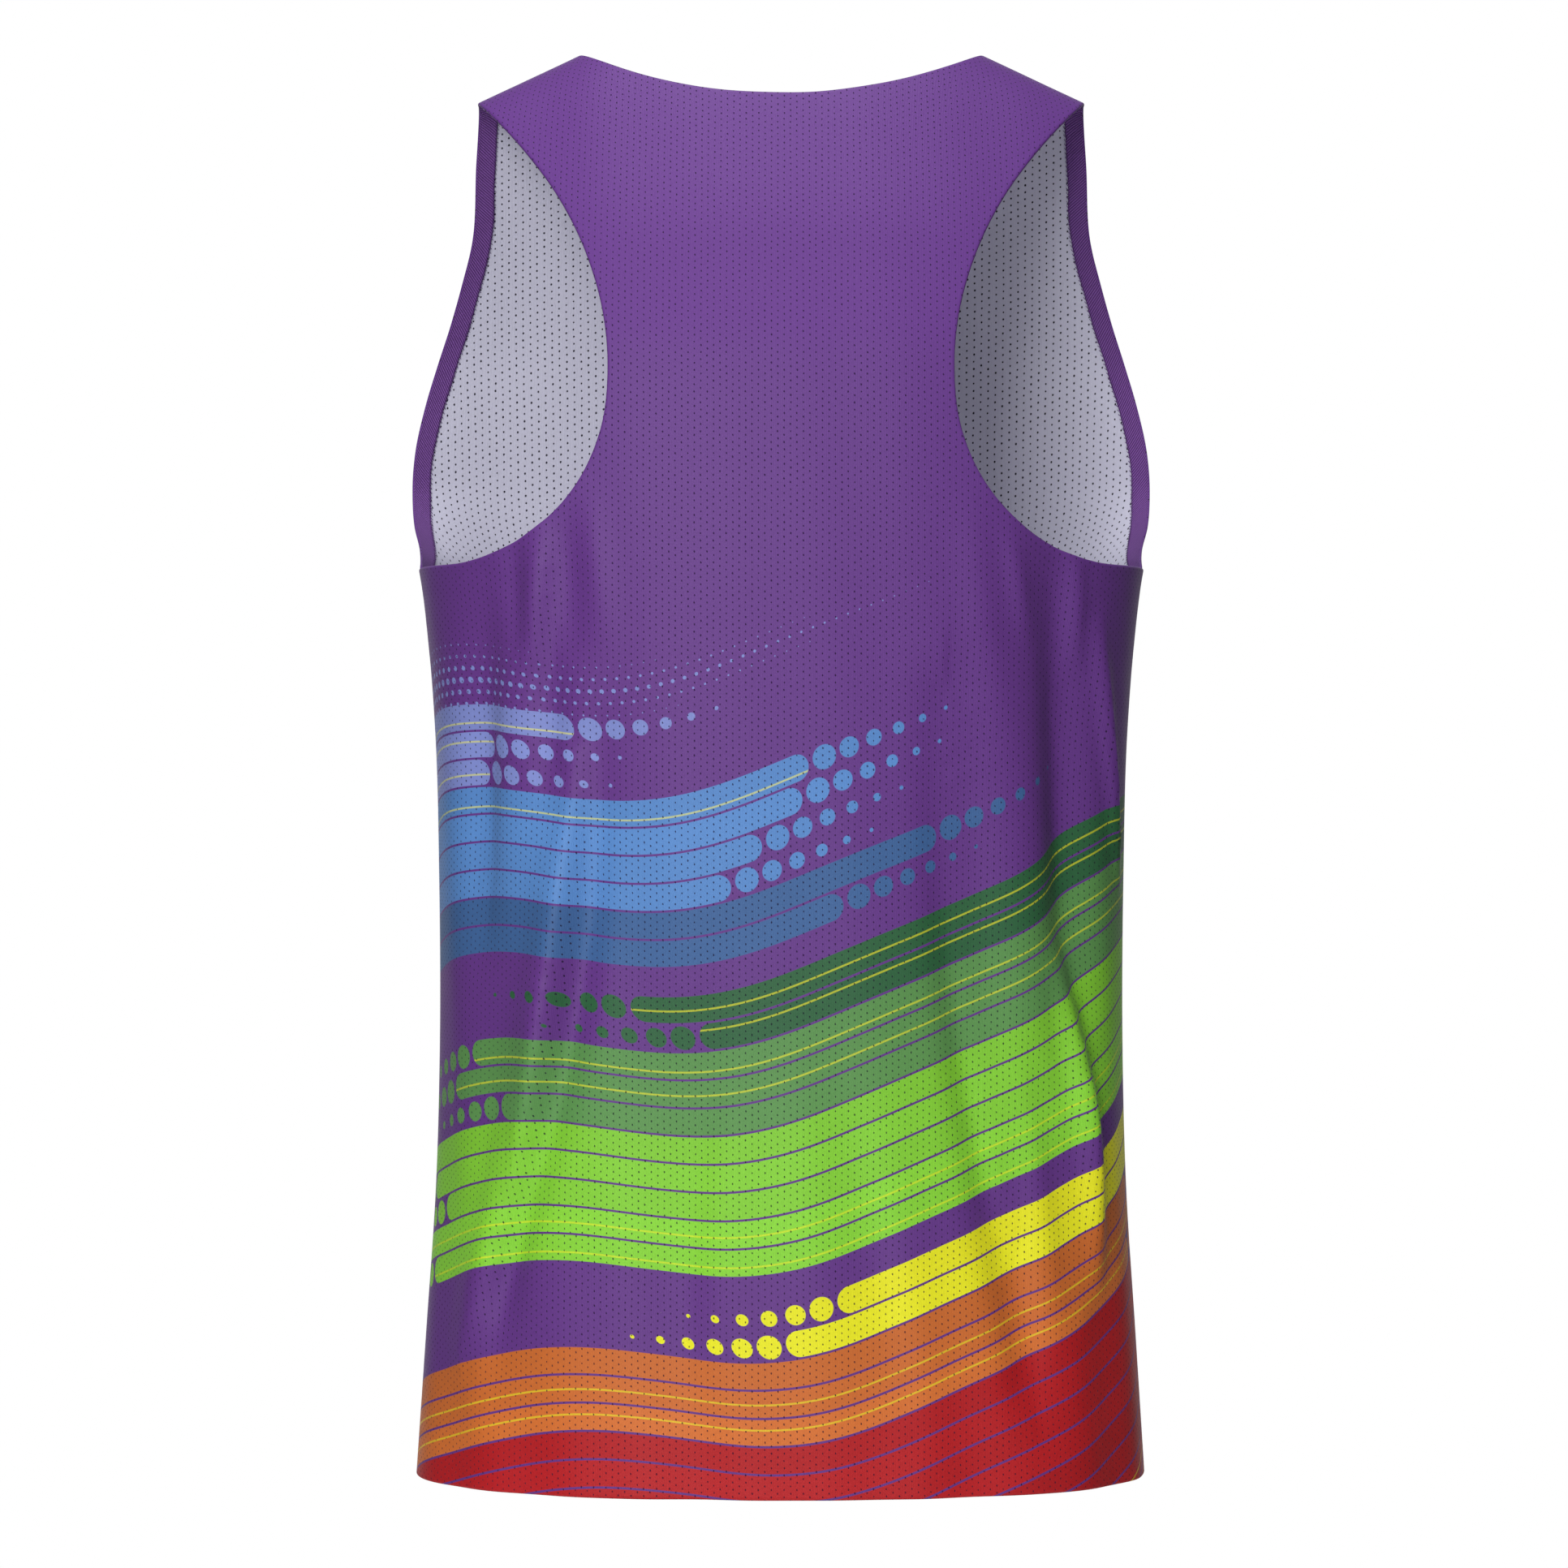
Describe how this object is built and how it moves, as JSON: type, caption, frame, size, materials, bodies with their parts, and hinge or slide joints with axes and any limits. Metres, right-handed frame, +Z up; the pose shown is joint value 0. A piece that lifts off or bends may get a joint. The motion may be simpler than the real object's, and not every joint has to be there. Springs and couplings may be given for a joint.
{
  "type": "running singlet",
  "caption": "Sleeveless running top of light eyelet knit with deep cut-away armholes, a shallow back neck and a lower front neck, filled out as if worn.",
  "frame": {"origin": "midway between the two points where the shoulder seams meet the neck", "axes": "+Z up the body, +Y out of the garment's back, +X towards the wearer's left"},
  "size_m": [0.3712, 0.2426, 0.6901],
  "materials": {
    "back_knit": "matt polyester eyelet knit, printed on its outside and grey-white on its reverse",
    "front_knit": "matt polyester eyelet knit, printed on its outside and grey-white on its reverse",
    "left_armhole_strip": "ribbed purple bias strip",
    "right_armhole_strip": "ribbed purple bias strip",
    "neck_strip": "ribbed purple bias strip",
    "back_hem": "purple knit, turned up inside",
    "front_hem": "purple knit, turned up inside"
  },
  "bodies": {
    "root": {"back_panel": "back_knit", "front_panel": "front_knit", "armhole_facing_left": "left_armhole_strip", "armhole_facing_right": "right_armhole_strip", "neck_facing": "neck_strip", "hem_turn_back": "back_hem", "hem_turn_front": "front_hem"}
  },
  "joints": []
}
